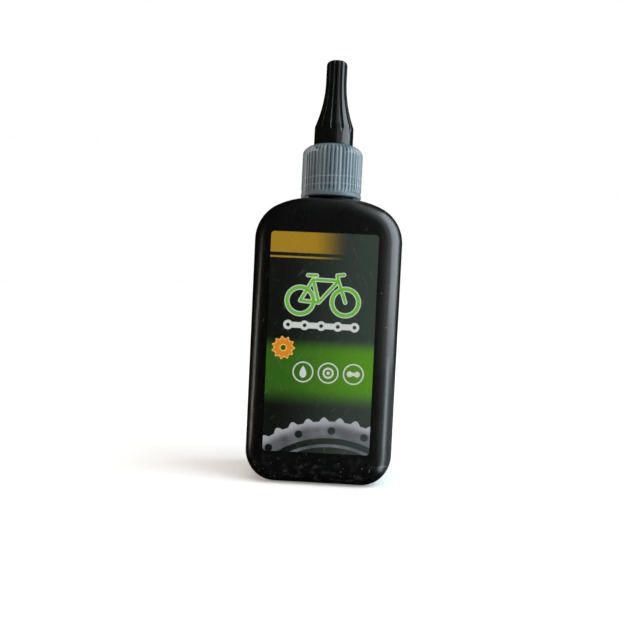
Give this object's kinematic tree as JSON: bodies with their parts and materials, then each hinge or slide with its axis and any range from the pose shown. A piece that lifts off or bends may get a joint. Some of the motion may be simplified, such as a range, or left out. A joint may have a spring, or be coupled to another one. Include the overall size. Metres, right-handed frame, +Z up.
{
  "type": "bicycle chain lubricant bottle",
  "caption": "Flat black squeeze bottle for bicycle chain oil, with a front film label, a translucent ribbed screw closure with a dosing spout, and a fluted push-on tip cap.",
  "frame": {"origin": "middle of the base, on the surface that the bottle stands on", "axes": "+Z up along the neck and the spout, the label faces -Y, +X to the right seen from the front"},
  "size_m": [0.049, 0.0302, 0.1428],
  "materials": {
    "bottle": "satin black polyethylene, blow moulded",
    "label_film": "printed film, dark grey green with a bright green band",
    "closure": "translucent natural polyethylene",
    "tip_cap": "glossy black plastic"
  },
  "bodies": {
    "bottle": {"bottle": "bottle", "front_label": "label_film"},
    "closure": {"nozzle_closure": "closure"},
    "cap": {"tip_cap": "tip_cap"}
  },
  "joints": [
    {"name": "closure_turn", "type": "hinge", "parent": "bottle", "child": "closure", "pos_m": [0, 0, 0.104], "axis": [0, 0, 1], "range_deg": [0, 540]},
    {"name": "tip_cap_pull", "type": "slide", "parent": "closure", "child": "cap", "axis": [0, 0, 1], "range_m": [0, 0.03]}
  ]
}
